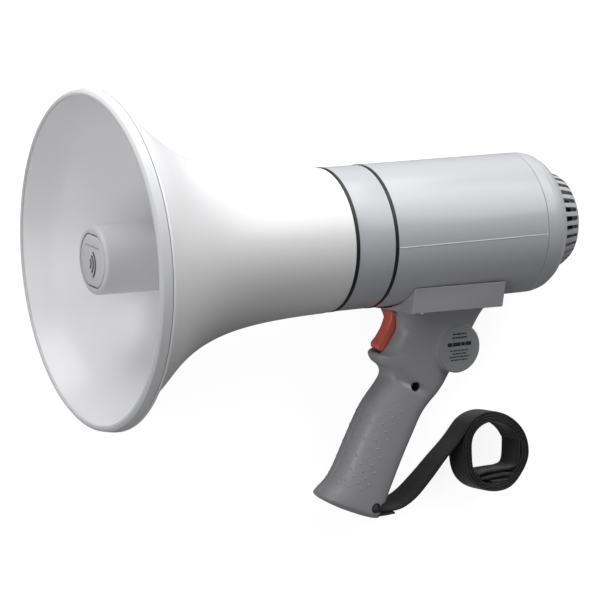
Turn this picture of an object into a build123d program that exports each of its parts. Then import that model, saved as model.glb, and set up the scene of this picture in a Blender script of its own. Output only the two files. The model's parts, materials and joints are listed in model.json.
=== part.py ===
from build123d import *
import math
import os

# Handheld megaphone, in millimetres.  The pieces are modelled upright: +X runs along the horn axis
# from the bell's mouth to the microphone, +Z is up, and the handle hangs below.  At the end every
# piece is laid on its side, as the megaphone lies on a table.

# Driving dimensions
RIM_RADIUS = 106.0
RIM_DEPTH = 7.2
MOUTH_RADIUS = 101.2
BELL_FLANGE_END = 9.1
BELL_END = 163.9
BELL_WALL = 2.4
BELL_SEAT_RADIUS = 43.8
RETURN_CUP_START = 142.5
RETURN_CUP_END = 153.5
THROAT_RADIUS = 46.2
FLARE_HEIGHT = 57.4
FLARE_LENGTH = 44.4
FLARE_POWER = 1.28
REFLECTOR_FRONT = 5.5
REFLECTOR_REAR = 128.0
REFLECTOR_RADIUS = 20.9
REFLECTOR_REAR_RADIUS = 27.0
BADGE_RADIUS = 17.4
BADGE_FLAT = 16.2
SEAL_WIDTH = 2.2
FRONT_SEAL = 164.1
REAR_SEAL = 192.3
BODY_RADIUS = 46.4
BODY_WALL = 2.5
BODY_START = 194.6
BODY_END = 307.3
COVER_SHOULDER = (315.5, 46.2)
COVER_END = 329.4
CAP_BASE_RADIUS = 33.0
CAP_END = 344.4
CAP_SLOTS = 34
CELL_RADIUS = 12.9
CELL_LENGTH = 48.6
CELL_PITCH = 50.0
CELL_CIRCLE = 15.2
CELL_START = 206.8
HANDLE_HALF_WIDTH = 16.0
HANDLE_WALL = 2.6
SADDLE_HALF_WIDTH = 32.0
SADDLE_START = 213.5
SADDLE_END = 284.0
SADDLE_BOTTOM = -48.0
SADDLE_TOP = -31.0
DISC_CENTRE = (257.8, -76.6)
DISC_RADIUS = 16.5
TRIGGER_PIVOT = (216.0, -51.4)
TRIGGER_WIDTH = 10.0
GRIP_SCREW = (226.0, -99.3)
STRAP_SCREW = (201.0, -177.0)
HEEL_CORNER = (201.0, 10.0, -180.6)
HEEL_ROUND = 6.0
STRAP_WIDTH = 26.0
STRAP_THICKNESS = 1.5
COIL_CENTRE = (288.0, -11.0, -151.0)
COIL_RADIUS = 25.0
COIL_PITCH = 2.6
COIL_HALF_TURNS = 5
COIL_START = 140.0
COIL_APPROACH = 27.0
KNOB_X = 209.5
KNOB_ANGLE = 25.0

# Helpers


def turned(*corners):
    """A solid of revolution about the horn axis from (x, radius) corners."""
    return revolve(make_face(Polyline(*corners, close=True)), Axis.X)


def tube(start, end, outer, inner):
    return turned((start, inner), (end, inner), (end, outer), (start, outer))


def disc(start, end, radius):
    return turned((start, 0), (end, 0), (end, radius), (start, radius))


def rod(start, direction, radius, length):
    """A cylinder that begins at start and runs along direction."""
    plane = Plane(origin=start, z_dir=direction)
    return plane * Cylinder(radius, length, align=(Align.CENTER, Align.CENTER, Align.MIN))


def side_plate(edges, low, high):
    """A side-view outline in x and z, given thickness from y = low to y = high."""
    face = Plane.XZ.offset(-low) * make_face(edges)
    return extrude(face, -(high - low))


def block(centre, size):
    return Pos(*centre) * Box(*size)


def around(radius, angle, x=0.0):
    """The point at an angle round the horn axis; 0 is +Y and 90 is up."""
    turn = math.radians(angle)
    return (x, radius * math.cos(turn), radius * math.sin(turn))


def helix_spring(start, direction, radius, height, turns, wire):
    path = Helix(height / turns, height, radius)
    section = Plane(origin=path @ 0, z_dir=path % 0) * Circle(wire / 2)
    return Plane(origin=start, z_dir=direction) * sweep(section, path=path, is_frenet=True)


def screw(head_at, direction, head_radius, head_height, shank_radius, shank_length):
    """A screw whose head sits at head_at and whose shank runs along direction."""
    heading = Vector(*direction).normalized()
    head = rod(Vector(*head_at) - heading * head_height, direction, head_radius, head_height)
    slot = rod(Vector(*head_at) - heading * head_height, direction, head_radius * 0.45, head_height * 0.5)
    return head - slot + rod(head_at, direction, shank_radius, shank_length)


# Horn


def flare_radius(x):
    """Outer radius of the bell: a throat that opens out ever faster towards the mouth."""
    run = (x - BELL_FLANGE_END) / FLARE_LENGTH
    return THROAT_RADIUS + FLARE_HEIGHT * math.exp(-(run ** FLARE_POWER))


def inside_flare(x):
    """The point of the bell's inner face square to the outer face at x."""
    step = 0.01
    slope = (flare_radius(x + step) - flare_radius(x)) / step
    length = math.hypot(1.0, slope)
    return (x + BELL_WALL * slope / length, flare_radius(x) - BELL_WALL / length)


def horn_bell():
    """The flared skin, with the rolled flange that holds the rim and a straight seat at its rear end."""
    stations = [9.6, 16.0, 26.0, 40.0, 56.0, 76.0, 100.0, 138.0]
    outer = [(x, flare_radius(x)) for x in stations + [BELL_END]]
    inner = [inside_flare(x) for x in stations]
    skin = Spline(*outer)
    rear = Polyline(outer[-1], (BELL_END, BELL_SEAT_RADIUS), (RETURN_CUP_START, BELL_SEAT_RADIUS), inner[-1])
    bore = Spline(*inner)
    lip = Polyline(inner[0], (7.6, MOUTH_RADIUS), (1.3, MOUTH_RADIUS), (1.3, 102.4), (RIM_DEPTH + 0.2, 102.4),
                   (RIM_DEPTH + 0.2, RIM_RADIUS), (BELL_FLANGE_END, RIM_RADIUS), (BELL_FLANGE_END, 103.9), outer[0])
    return revolve(make_face(skin.edges() + rear.edges() + bore.edges() + lip.edges()), Axis.X)


def return_cup():
    """The dished wall at the bell's rear end that turns the sound forward again and carries the driver."""
    start, end = RETURN_CUP_START, RETURN_CUP_END
    bowl = Spline((start, BELL_SEAT_RADIUS - 0.4), (start + 6, 37.5), (start + 8.5, 30.0))
    wall = Polyline(bowl @ 1, (start + 8.5, 17.2), (end, 17.2), (end, BELL_SEAT_RADIUS - 0.1),
                    (start, BELL_SEAT_RADIUS - 0.1), bowl @ 0)
    cup = revolve(make_face(bowl.edges() + wall.edges()), Axis.X)
    for angle in range(45, 405, 90):
        cup -= rod(around(29.5, angle, end - 2.1), (1, 0, 0), 1.5, 3.0)
    return cup


def bell_rim_ring():
    return turned((0, MOUTH_RADIUS + 0.1), (0, 103.0), (0.5, 103.7), (1.4, 104.5), (RIM_DEPTH, RIM_RADIUS),
                  (RIM_DEPTH, 102.5), (1.2, 102.5), (1.2, MOUTH_RADIUS + 0.1))


def badge_outline(grow=0.0):
    """A circle with a flat at its top and bottom, in the plane across the horn axis."""
    flats = Rectangle(2 * (BADGE_FLAT + grow), 2 * (BADGE_RADIUS + grow + 1))
    return Circle(BADGE_RADIUS + grow) & flats


def badge_plate(start, thickness, grow=0.0):
    plane = Plane(origin=(start, 0, 0), x_dir=(0, 0, 1), z_dir=(1, 0, 0))
    return extrude(plane * badge_outline(grow), thickness)


def center_reflector():
    """The cup in the bell's mouth that turns the sound back on itself."""
    front, rear = REFLECTOR_FRONT, REFLECTOR_REAR
    cup = turned((front, 0), (front, REFLECTOR_RADIUS - 2.4), (front + 0.7, REFLECTOR_RADIUS - 0.8),
                 (front + 2.4, REFLECTOR_RADIUS), (70, 22.4), (100, 24.2), (rear, REFLECTOR_REAR_RADIUS),
                 (rear, REFLECTOR_REAR_RADIUS - 2), (100, 22.2), (70, 20.4), (front + 4, 18.9), (front + 4, 0))
    return cup - badge_plate(front - 1, 2.4, 0.15)


def emblem_badge():
    """The grey plate on the reflector, with three generic sound-wave arcs raised on it."""
    plate = badge_plate(REFLECTOR_FRONT, 1.4)
    plane = Plane(origin=(REFLECTOR_FRONT - 0.4, 0, 0), x_dir=(0, 1, 0), z_dir=(1, 0, 0))
    for radius in (4.0, 7.5, 11.0):
        wave = Circle(radius + 0.8) - Circle(radius - 0.8)
        wave &= Pos(8, 0) * Rectangle(16, radius * 1.5)
        plate += extrude(plane * (Pos(-5, 0) * wave), 0.4)
    return plate


def throat_tube():
    """The narrow pipe from the driver into the reflector, with four ribs that hold the reflector."""
    pipe = turned((32, 13.0), (32, 14.8), (150, 10.6), (153.6, 10.6), (153.6, 34), (157.5, 34),
                  (157.5, 22), (155.0, 22), (155.0, 8.6), (150, 8.6))
    fins = Part() + [Rot(angle, 0, 0) * block((90, 16, 0), (60, 14, 1.6)) for angle in range(0, 360, 90)]
    room = turned((60, 12.5), (120, 11.0), (120, 23.95), (100, 22.15), (70, 20.35), (60, 20.1))
    pipe += fins & room
    for angle in range(45, 405, 90):
        pipe -= rod(around(29.5, angle, 153), (1, 0, 0), 1.65, 6)
    return pipe


def driver_front_plate():
    plate = tube(158.5, 163.5, 34, 13.9)
    for angle in range(45, 405, 90):
        plate -= rod(around(29.5, angle, 158), (1, 0, 0), 1.65, 6)
    return plate


def surround():
    """The soft rolled ring that carries the diaphragm."""
    return turned((157.6, 13.65), (157.6, 15.0), (156.4, 16.4), (156.4, 18.0), (157.6, 19.4), (157.6, 24.0),
                  (158.4, 24.0), (158.4, 19.0), (156.8, 17.8), (156.8, 16.8), (158.0, 15.4), (158.0, 13.65))


def diaphragm():
    return turned((155.6, 0), (155.9, 5), (156.6, 9.5), (157.6, 13.3), (158.0, 13.3), (157.0, 9.2),
                  (156.3, 4.8), (156.0, 0))


def voice_coil():
    return tube(158.0, 166.0, 13.4, 12.8)


def driver_yoke():
    return turned((160.5, 0), (160.5, 12.2), (173.5, 12.2), (173.5, 25), (178, 25), (178, 0))


def driver_screws():
    heads = [screw(around(29.5, angle, 163.5), (-1, 0, 0), 2.75, 2.2, 1.5, 12) for angle in range(45, 405, 90)]
    return Part() + heads


# Body


def collar_ring():
    """The grey ring between the seals: it holds the driver's bulkhead and plugs into both sides."""
    ring = tube(FRONT_SEAL + SEAL_WIDTH + 0.1, REAR_SEAL - 0.1, THROAT_RADIUS, 43.6)
    ring += tube(157.0, REAR_SEAL + 8, 43.6, 41.4)
    ring += disc(181.5, 183.5, 42.0)
    ring -= rod((181, 0, -30), (1, 0, 0), 4, 4)
    return ring


def seal_ring(start):
    return tube(start, start + SEAL_WIDTH, THROAT_RADIUS + 0.25, 43.7)


def body_half(upper):
    shell = tube(BODY_START, BODY_END, BODY_RADIUS, BODY_RADIUS - BODY_WALL)
    side = 1 if upper else -1
    half = shell & block((250, 0, side * 30.05), (130, 100, 60))
    if upper:
        return half - rod(around(38, KNOB_ANGLE, KNOB_X), around(1, KNOB_ANGLE), 3.6, 12)
    for x, y in saddle_screw_places():
        boss = rod((x, y, -44.5), (0, 0, 1), 4, 10) & disc(BODY_START, BODY_END, BODY_RADIUS - 1)
        half += boss
        half -= rod((x, y, -50), (0, 0, 1), 1.5, 17)
    return half - rod((238, 0, -50), (0, 0, 1), 4, 10)


def saddle_screw_places():
    return [(x, y) for x in (226.0, 271.0) for y in (-25.0, 25.0)]


def amplifier_board():
    return tube(186.5, 188.1, 40, 5)


def output_transformer():
    core = block((193.6, -16, 8), (10.4, 20, 24))
    windings = block((193.4, -16, 8), (8.4, 26, 15))
    return core + windings


def power_transistors():
    """Two transistors, each on its own bent heat-sink plate."""
    packages = Part()
    for side in (-1, 1):
        packages += block((193.2, 15 * side, -22), (10, 10, 4.4))
        packages += block((193.6, 15 * side, -26.2), (10.8, 17, 1.6))
    return packages


def board_capacitors():
    places = [(12, 16), (12, 28), (0, 33), (24, 8), (5, -12), (-30, -10)]
    return Part() + [rod((188.1, y, z), (1, 0, 0), 4.2, 11) for y, z in places]


def volume_pot():
    inward = around(-1, KNOB_ANGLE)
    case = rod(around(42.5, KNOB_ANGLE, KNOB_X), inward, 7.5, 8)
    return case + rod(around(42.4, KNOB_ANGLE, KNOB_X), around(1, KNOB_ANGLE), 3.4, 4.0)


def volume_knob():
    """A fluted knob just outside the potentiometer's bush, with a pointer groove in its face."""
    outward = around(1, KNOB_ANGLE)
    knob = rod(around(47.4, KNOB_ANGLE, KNOB_X), outward, 9.5, 7.5)
    plane = Plane(origin=around(47.0, KNOB_ANGLE, KNOB_X), z_dir=outward)
    flutes = [plane * Rot(0, 0, step * 20) * Pos(9.9, 0, 5) * Cylinder(0.9, 12) for step in range(18)]
    mark = plane * Pos(6.2, 0, 7.9) * Box(5.0, 1.0, 0.8)
    return knob - flutes - mark


def battery_holder():
    """An open sleeve with three windows and a front disc, which the cells slide into."""
    sleeve = tube(203.6, 304.0, 30.9, 29.0) + disc(203.6, 205.6, 30.9)
    for angle in (30, 150, 270):
        for x in (230.5, 281.0):
            window = block((x, 30, 0), (38, 12, 26))
            sleeve -= Rot(angle, 0, 0) * window
    return sleeve


def cell_angles():
    return (90, 210, 330)


def battery_cells():
    cells = Part()
    for row in range(2):
        for angle in cell_angles():
            start = CELL_START + row * CELL_PITCH
            cells += rod(around(CELL_CIRCLE, angle, start), (1, 0, 0), CELL_RADIUS, CELL_LENGTH)
            cells += rod(around(CELL_CIRCLE, angle, start + CELL_LENGTH), (1, 0, 0), 3.3, 1.3)
    return cells


def battery_contacts():
    plates = [rod(around(CELL_CIRCLE, angle, 205.7), (1, 0, 0), 6.0, 0.6) for angle in cell_angles()]
    return Part() + plates


def battery_springs():
    coils = Part()
    for angle in cell_angles():
        coils += helix_spring(around(CELL_CIRCLE, angle, 307.9), (1, 0, 0), 4.2, 5.2, 3.5, 0.8)
    return coils


# Rear cover and microphone


def rear_cover():
    """The end shell that comes off for the batteries: skirt, shoulder and a seat for the microphone."""
    return turned((298, 41.8), (298, 43.5), (307.5, 43.5), (307.5, BODY_RADIUS), COVER_SHOULDER, (320.5, 45.0),
                  (324.6, 42.2), (327.6, 38.4), (COVER_END, 34.2), (COVER_END, 28.0), (326.8, 28.0),
                  (326.8, 32.8), (324.6, 37.6), (321.6, 40.6), (317.0, 42.6), (315.6, 42.6), (312.0, 41.8))


def cover_contact_plate():
    return disc(313.6, 315.2, 41.5) - rod((313, 0, 0), (1, 0, 0), 4, 3)


def microphone_cap():
    """The slotted cap over the microphone, with a dished rear face full of small holes."""
    cap = turned((329.5, CAP_BASE_RADIUS), (340.5, 30.9), (342.6, 30.0), (343.9, 28.6), (CAP_END, 26.6),
                 (CAP_END, 25.0), (342.6, 23.0), (341.8, 0), (339.8, 0), (340.0, 27.4), (338.5, 28.4),
                 (329.5, 30.6))
    slot = block((335.2, 31, 0), (9.6, 9, 2.5))
    cap -= [Rot(step * 360 / CAP_SLOTS, 0, 0) * slot for step in range(CAP_SLOTS)]
    for ring in range(1, 4):
        holes = 6 * ring
        cap -= [rod(around(6.4 * ring, step * 360 / holes, 339), (1, 0, 0), 1.3, 5) for step in range(holes)]
    return cap - rod((339, 0, 0), (1, 0, 0), 1.3, 5)


def microphone_screen():
    return turned((329.6, 26.0), (329.6, 27.2), (338.8, 26.2), (338.8, 0), (337.6, 0), (337.6, 25.0))


def microphone_capsule():
    return disc(325.0, 334.5, 12.0)


def microphone_cushion():
    """The rubber ring that floats the capsule in the cover's opening."""
    return turned((326.9, 12.0), (326.9, 27.9), (329.0, 27.9), (329.0, 18.0), (332.0, 14.6), (332.0, 12.0))


# Handle


def handle_outline():
    """The pistol grip from the side: guard, trigger seat, finger ledge, grip, butt and web of the thumb."""
    guard = Polyline((209.0, -43.0), (208.5, -50.0), (217.0, -52.6), (217.5, -60.0), (213.5, -69.5),
                     (209.5, -78.0), (205.6, -78.2))
    ledge = Spline((205.6, -78.2), (204.4, -80.6), (207.4, -84.0), (211.2, -87.6), (212.2, -92.5))
    front = Spline((212.2, -92.5), (203.6, -104.6), (190.6, -124.4), (177.9, -150.7), (164.6, -166.8))
    butt = ThreePointArc((164.6, -166.8), (183.5, -179.8), (204.8, -186.8))
    heel = Line((204.8, -186.8), (208.6, -180.2))
    web = Spline((208.6, -180.2), (221.0, -151.5), (234.4, -122.9), (247.5, -108.7), (258.5, -94.0), (270.0, -76.0),
                 (277.0, -58.0))
    top = Polyline((277.0, -58.0), (283.0, -50.0), (283.0, -43.0), (209.0, -43.0))
    return guard.edges() + [ledge, front, butt, heel, web] + top.edges()


def saddle():
    """The flat-sided block that clasps the underside of the body, drawn in to a nose at its front."""
    plan = Polyline((207.0, -9), (210.0, -19), (SADDLE_START, -SADDLE_HALF_WIDTH), (SADDLE_END, -SADDLE_HALF_WIDTH),
                    (SADDLE_END, SADDLE_HALF_WIDTH), (SADDLE_START, SADDLE_HALF_WIDTH), (210.0, 19), (207.0, 9),
                    close=True)
    height = SADDLE_TOP - SADDLE_BOTTOM
    return extrude(Pos(0, 0, SADDLE_BOTTOM) * make_face(plan), height)


def handle_solid():
    grip = side_plate(handle_outline(), -HANDLE_HALF_WIDTH, HANDLE_HALF_WIDTH)
    long_edges = grip.edges().filter_by(lambda edge: abs(edge.center().Y) > HANDLE_HALF_WIDTH - 0.1)
    palm_edges = long_edges.filter_by(lambda edge: edge.center().Z < -150 or edge.center().X > 230)
    grip = fillet(palm_edges.filter_by(lambda edge: edge.center().Z < -100), 6.0)
    drum = rod((DISC_CENTRE[0], -18, DISC_CENTRE[1]), (0, 1, 0), DISC_RADIUS, 36)
    return grip + saddle() + drum


def handle_cavity():
    """The hollow of the handle: neck, upper grip and a channel for the strap's end."""
    inside = HANDLE_HALF_WIDTH - HANDLE_WALL
    outline = Polyline((221.0, -52.0), (221.0, -62.0), (217.5, -70.0), (214.0, -78.0), (216.0, -86.0),
                       (215.0, -96.0), (197.0, -122.0), (183.0, -151.0), (173.0, -166.0), (201.0, -180.5),
                       (216.0, -150.0), (229.0, -121.5), (241.0, -108.0), (252.0, -94.0), (262.0, -76.0),
                       (268.0, -56.0), (268.0, -49.5), (221.0, -49.5), close=True)
    room = side_plate(outline.edges(), -inside, inside)
    belly = block((245, 0, -46), (50, 30, 14))
    return room + belly


def trigger_slot():
    """The open front that the trigger swings in."""
    half = TRIGGER_WIDTH / 2 + 0.5
    outline = Polyline((206.0, -47.6), (224.0, -47.6), (224.0, -79.6), (207.0, -79.6), (200.0, -74.0), close=True)
    return side_plate(outline.edges(), -half, half)


def screw_well(place, side, depth):
    """A round well for a screw head, sunk into one side of the handle."""
    return rod((place[0], side * (HANDLE_HALF_WIDTH + 2), place[1]), (0, -side, 0), 3.0, depth + 2)


def handle_half(left):
    side = -1 if left else 1
    solid = handle_solid() - handle_cavity() - trigger_slot() - disc(190, 300, BODY_RADIUS + 0.12)
    for place in (GRIP_SCREW, DISC_CENTRE, STRAP_SCREW):
        solid += rod((place[0], -14, place[1]), (0, 1, 0), 4.6, 28)
        solid -= rod((place[0], -20, place[1]), (0, 1, 0), 1.5, 40)
    solid -= strap_channel()
    solid -= rod((TRIGGER_PIVOT[0], -9, TRIGGER_PIVOT[1]), (0, 1, 0), 1.25, 18)
    for x, y in saddle_screw_places():
        solid -= rod((x, y, -60), (0, 0, 1), 1.65, 30)
        solid -= rod((x, y, -60), (0, 0, 1), 3.2, 60 + SADDLE_BOTTOM + 1.2)
    solid -= screw_well(GRIP_SCREW, -1, 9)
    solid -= screw_well(STRAP_SCREW, -1, 2.4)
    solid -= screw_well(DISC_CENTRE, -1, 8)
    return solid & block((235, side * 50, -110), (160, 99.9, 180))


def strap_channel():
    """The slot through the grip's rear corner where the strap's end goes round its bush."""
    x, z = STRAP_SCREW
    return block((x + 7, 0, z - 1.0), (26, STRAP_WIDTH, 12.4))


def label_disc():
    """The thin round plate on the drum's left end."""
    x, z = DISC_CENTRE
    return rod((x, -18.0, z), (0, -1, 0), DISC_RADIUS - 1.0, 0.7)


def saddle_screws():
    screws = [screw((x, y, SADDLE_BOTTOM + 1.2), (0, 0, 1), 2.9, 2.0, 1.5, 12) for x, y in saddle_screw_places()]
    return Part() + screws


def handle_screws():
    grip = screw((GRIP_SCREW[0], -7.0, GRIP_SCREW[1]), (0, 1, 0), 2.8, 2.0, 1.5, 16)
    drum = screw((DISC_CENTRE[0], -8.0, DISC_CENTRE[1]), (0, 1, 0), 2.8, 2.0, 1.5, 18)
    return Part() + [grip, drum]


def strap_screw():
    return screw((STRAP_SCREW[0], -13.6, STRAP_SCREW[1]), (0, 1, 0), 2.8, 2.0, 1.5, 24)


def strap_bush():
    x, z = STRAP_SCREW
    return rod((x, -12.8, z), (0, 1, 0), 3.2, 25.6) - rod((x, -13, z), (0, 1, 0), 1.5, 26)


# Trigger and talk switch


def trigger():
    """A curved blade that swings about its top pin, with an ear inside the guard."""
    outline = Polyline((213.2, -49.0), (218.6, -49.0), (219.6, -54.0), (219.0, -61.0), (215.0, -70.0),
                       (211.4, -76.4), (208.6, -77.4), (204.4, -74.6), (203.8, -71.8), (206.8, -68.6),
                       (210.6, -63.0), (212.6, -57.0), close=True)
    half = TRIGGER_WIDTH / 2
    blade = side_plate(outline.edges(), -half, half)
    front_edges = blade.edges().filter_by(lambda edge: abs(edge.center().Y) > half - 0.1 and edge.center().Z < -60)
    blade = fillet(front_edges.filter_by(lambda edge: edge.center().X < 209.5), 1.2)
    return blade - rod((TRIGGER_PIVOT[0], -8, TRIGGER_PIVOT[1]), (0, 1, 0), 1.3, 16)


def trigger_pin():
    return rod((TRIGGER_PIVOT[0], -8.9, TRIGGER_PIVOT[1]), (0, 1, 0), 1.25, 17.8)


def trigger_spring():
    return helix_spring((220.0, 0, -57.5), (1, 0, 0), 2.0, 5.6, 6, 0.5)


def talk_switch():
    """The snap switch behind the trigger, with its two terminals."""
    case = block((235.0, 0, -63.0), (13, 12, 19)) - block((228.4, 0, -66.0), (8.0, 4.4, 4.4))
    for height in (-56.5, -69.5):
        case += block((243.0, 0, height), (4, 4, 0.8))
    return case + block((227.4, 0, -57.5), (2.4, 7, 6))


def switch_plunger():
    return block((223.8, 0, -66.0), (12.4, 3.6, 3.6))


def cable(points, diameter, bend):
    """An insulated lead along straight runs joined by round bends."""
    path = FilletPolyline(*points, radius=bend)
    section = Plane(origin=path @ 0, z_dir=path % 0) * Circle(diameter / 2)
    return sweep(section, path=path)


def switch_lead():
    """Two-core lead from the talk switch up through the body's underside to the amplifier board."""
    points = [(245.2, 0, -56.5), (249.5, 0, -56.5), (249.5, 0, -50.0), (238.0, 0, -46.5), (238.0, 0, -37.5),
              (193.0, 0, -35.0), (188.2, 0, -35.0)]
    return cable(points, 2.2, [2.1, 2.8, 3.2, 3.8, 2.2])


def driver_lead():
    """Lead from the driver's terminals through the bulkhead's grommet hole to the board."""
    points = [(161.0, 0, -34.2), (161.0, 0, -38.0), (170.0, 0, -38.0), (178.0, 0, -30.0), (186.4, 0, -30.0)]
    return cable(points, 2.0, [1.7, 3.6, 3.6])


# Laying the megaphone on its right side


def resting_plane():
    """The table's plane under the bell's flange, the rear cover's shoulder and the handle's heel."""
    shoulder_x, shoulder_radius = COVER_SHOULDER
    heel_x, heel_y, heel_z = HEEL_CORNER
    slope = (RIM_RADIUS - shoulder_radius) / (shoulder_x - BELL_FLANGE_END)
    pitch = math.atan(slope)
    reach = RIM_RADIUS - slope * (heel_x - BELL_FLANGE_END) - HEEL_ROUND / math.cos(pitch)
    roll = math.atan2(-heel_z, heel_y) - math.acos(reach / math.hypot(heel_y, heel_z))
    along = (math.cos(pitch), -math.sin(pitch) * math.cos(roll), math.sin(pitch) * math.sin(roll))
    up = (-math.sin(pitch), -math.cos(pitch) * math.cos(roll), math.cos(pitch) * math.sin(roll))
    return Plane(origin=(0, 0, 0), x_dir=along, z_dir=up)


def laying(pieces):
    """The move that lays the upright pieces on the table, with the box's bottom centre at the origin."""
    turn = resting_plane().location.inverse()
    box = Compound(children=[turn * piece for piece in pieces]).bounding_box(optimal=True)
    return Pos(-box.center().X, -box.center().Y, -box.min.Z) * turn


# Strap, which stands on its edge on the table


def on_table(lay, x, y, z):
    """Where an upright point lands on the table, seen from above."""
    place = (lay * Pos(x, y, z)).position
    return Vector(place.X, place.Y)


def strap_run(start, end):
    """A straight stretch of webbing between two points of the table."""
    heading = (end - start).normalized()
    side = Vector(-heading.Y, heading.X) * (STRAP_THICKNESS / 2)
    return make_face(Polyline(start + side, end + side, end - side, start - side, close=True))


def strap_bend(centre, radius, start_angle, sweep_angle):
    """A round stretch of webbing; angles in degrees."""
    outer = CenterArc(centre, radius + STRAP_THICKNESS / 2, start_angle, sweep_angle)
    inner = CenterArc(centre, radius - STRAP_THICKNESS / 2, start_angle, sweep_angle)
    return make_face([outer, Line(outer @ 1, inner @ 1), inner, Line(inner @ 0, outer @ 0)])


def strap(lay):
    """Webbing from the grip's corner to a coil of turns that shrink by a pitch each, end folded in."""
    anchor = on_table(lay, STRAP_SCREW[0] + 5.6, 0, STRAP_SCREW[1] - 2.4)
    centre = on_table(lay, *COIL_CENTRE)
    outward = Vector(math.cos(math.radians(COIL_START)), math.sin(math.radians(COIL_START)))
    onto_coil = centre + outward * COIL_RADIUS
    flow = Vector(outward.Y, -outward.X)
    exit_end = on_table(lay, 225.0, -3.0, -176.5)
    rise = onto_coil - flow * COIL_APPROACH
    pieces = [strap_run(anchor, exit_end), strap_run(exit_end, rise), strap_run(rise, onto_coil)]
    for half_turn in range(COIL_HALF_TURNS):
        shift = outward * (-COIL_PITCH / 2) if half_turn % 2 else Vector(0, 0)
        radius = COIL_RADIUS - half_turn * COIL_PITCH / 2
        pieces.append(strap_bend(centre + shift, radius, COIL_START - 180 * half_turn, -180))
    fold = centre - outward * (COIL_PITCH / 2 + COIL_RADIUS - COIL_HALF_TURNS * COIL_PITCH / 2)
    tail = fold + flow * -9.0
    pieces.append(strap_run(fold, tail))
    flat = Sketch() + pieces
    return Pos(0, 0, 0.4) * extrude(flat, STRAP_WIDTH)


# All nodes


def upright_pieces():
    return {
        "horn_bell": horn_bell(),
        "return_cup": return_cup(),
        "bell_rim_ring": bell_rim_ring(),
        "center_reflector": center_reflector(),
        "emblem_badge": emblem_badge(),
        "throat_tube": throat_tube(),
        "driver_front_plate": driver_front_plate(),
        "surround": surround(),
        "diaphragm": diaphragm(),
        "voice_coil": voice_coil(),
        "driver_magnet": tube(163.5, 173.5, 25, 17),
        "driver_yoke": driver_yoke(),
        "driver_screws": driver_screws(),
        "front_seal_ring": seal_ring(FRONT_SEAL),
        "collar_ring": collar_ring(),
        "rear_seal_ring": seal_ring(REAR_SEAL),
        "body_upper_shell": body_half(True),
        "body_lower_shell": body_half(False),
        "amplifier_board": amplifier_board(),
        "output_transformer": output_transformer(),
        "power_transistors": power_transistors(),
        "board_capacitors": board_capacitors(),
        "volume_pot": volume_pot(),
        "volume_knob": volume_knob(),
        "battery_holder": battery_holder(),
        "battery_cells": battery_cells(),
        "battery_contacts": battery_contacts(),
        "battery_springs": battery_springs(),
        "rear_cover": rear_cover(),
        "cover_contact_plate": cover_contact_plate(),
        "microphone_cap": microphone_cap(),
        "microphone_screen": microphone_screen(),
        "microphone_capsule": microphone_capsule(),
        "microphone_cushion": microphone_cushion(),
        "handle_left_shell": handle_half(True),
        "handle_right_shell": handle_half(False),
        "label_disc": label_disc(),
        "saddle_screws": saddle_screws(),
        "handle_screws": handle_screws(),
        "strap_screw": strap_screw(),
        "strap_bush": strap_bush(),
        "trigger": trigger(),
        "trigger_pin": trigger_pin(),
        "trigger_spring": trigger_spring(),
        "talk_switch": talk_switch(),
        "switch_plunger": switch_plunger(),
        "switch_lead": switch_lead(),
        "driver_lead": driver_lead(),
    }


def main():
    os.makedirs("parts", exist_ok=True)
    pieces = upright_pieces()
    lay = laying(pieces.values())
    laid = {name: lay * piece for name, piece in pieces.items()}
    laid["strap"] = strap(lay)
    for name, piece in laid.items():
        export_step(piece, f"parts/{name}.step")


main()
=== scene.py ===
import json
import math

import bmesh
import bpy
from mathutils import Matrix, Vector


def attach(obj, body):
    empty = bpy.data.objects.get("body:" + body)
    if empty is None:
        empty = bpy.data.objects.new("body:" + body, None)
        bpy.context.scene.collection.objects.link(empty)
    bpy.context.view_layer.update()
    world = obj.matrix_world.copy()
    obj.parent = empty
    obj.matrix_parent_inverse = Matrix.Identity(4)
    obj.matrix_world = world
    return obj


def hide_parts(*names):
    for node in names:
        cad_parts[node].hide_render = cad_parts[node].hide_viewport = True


# Handheld megaphone.  Pieces are modelled upright in millimetres, as in part.py: +X runs along the
# horn axis from the bell's mouth to the microphone, +Z is up and the handle hangs below.  UPRIGHT
# then lays each mesh down in the row frame, in metres.

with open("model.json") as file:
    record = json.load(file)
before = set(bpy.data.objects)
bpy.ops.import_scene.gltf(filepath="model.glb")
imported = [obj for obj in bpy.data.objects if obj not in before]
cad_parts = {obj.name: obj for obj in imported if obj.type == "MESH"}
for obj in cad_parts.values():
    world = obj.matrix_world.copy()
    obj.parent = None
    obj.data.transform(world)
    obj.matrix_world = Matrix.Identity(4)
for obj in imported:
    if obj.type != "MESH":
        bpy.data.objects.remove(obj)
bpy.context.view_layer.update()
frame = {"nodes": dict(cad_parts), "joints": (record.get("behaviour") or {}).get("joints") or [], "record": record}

# Driving dimensions, in millimetres unless the name says otherwise

MM = 0.001
RIM_RADIUS = 106.0
RIM_DEPTH = 7.2
MOUTH_RADIUS = 101.2
BELL_FLANGE_END = 9.1
BELL_END = 163.9
BELL_WALL = 2.4
THROAT_RADIUS = 46.2
FLARE_HEIGHT = 57.4
FLARE_LENGTH = 44.4
FLARE_POWER = 1.28
FLARE_TUCK = 4.0
REFLECTOR_FRONT = 3.9
REFLECTOR_REAR = 128.0
REFLECTOR_RADIUS = 21.2
BADGE_RADIUS = 17.2
BADGE_FLAT = 15.9
SEAL_WIDTH = 2.2
FRONT_SEAL = 164.1
REAR_SEAL = 192.3
BODY_RADIUS = 46.4
BODY_WALL = 2.5
BODY_START = 194.6
BODY_END = 307.3
CAP_SLOTS = 34
DISC_CENTRE = (257.8, -76.6)
DISC_RADIUS = 16.5
DISC_FACE = -18.0
TRIGGER_PIVOT = (216.0, -51.4)
TRIGGER_HALF = 5.0
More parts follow.
